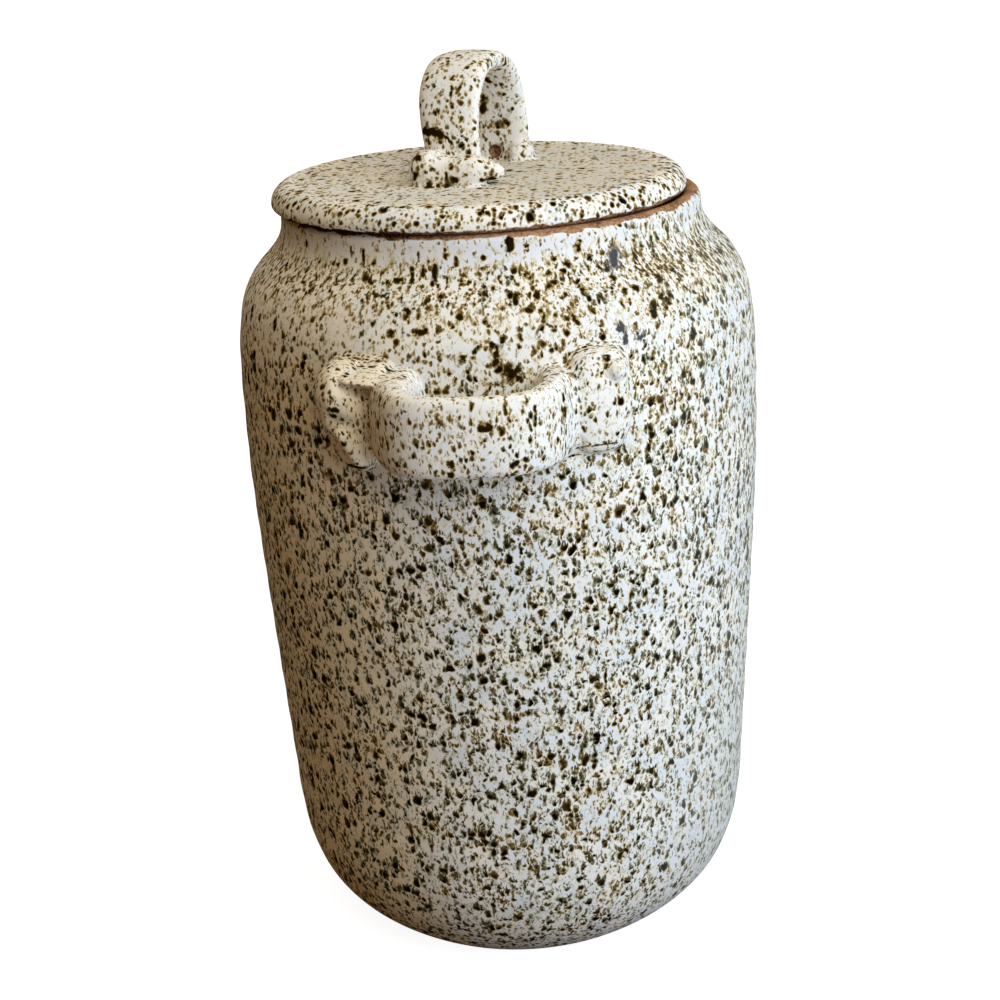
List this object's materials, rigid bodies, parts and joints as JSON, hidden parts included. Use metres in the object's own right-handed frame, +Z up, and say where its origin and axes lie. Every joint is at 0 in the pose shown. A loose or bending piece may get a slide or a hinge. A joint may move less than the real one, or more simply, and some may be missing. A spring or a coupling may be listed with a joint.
{
  "type": "biscuit jar",
  "caption": "Wheel-thrown stoneware biscuit jar with a loose flat lid, a strap-loop knob and two small lug handles on the shoulder.",
  "frame": {"origin": "centre of the flat foot, on the table", "axes": "+Z up along the jar's axis, -Y towards the front handle, +X to the right as seen from the front"},
  "size_m": [0.178, 0.227, 0.3065],
  "materials": {
    "glaze": "satin off-white glaze with iron speckle",
    "bare_clay": "matt unglazed toasted stoneware"
  },
  "bodies": {
    "jar": {"jar_body": "glaze", "front_handle_strap": "glaze", "front_handle_left_tab": "glaze", "front_handle_right_tab": "glaze", "rear_handle_strap": "glaze", "rear_handle_left_tab": "glaze", "rear_handle_right_tab": "glaze"},
    "lid": {"lid_plate": "glaze", "lid_flange": "bare_clay", "knob_strap": "glaze", "knob_front_roll": "glaze", "knob_rear_roll": "glaze"}
  },
  "joints": [
    {"name": "lid_lift", "type": "slide", "parent": "jar", "child": "lid", "axis": [0, 0, 1], "range_m": [0, 0.12]}
  ]
}
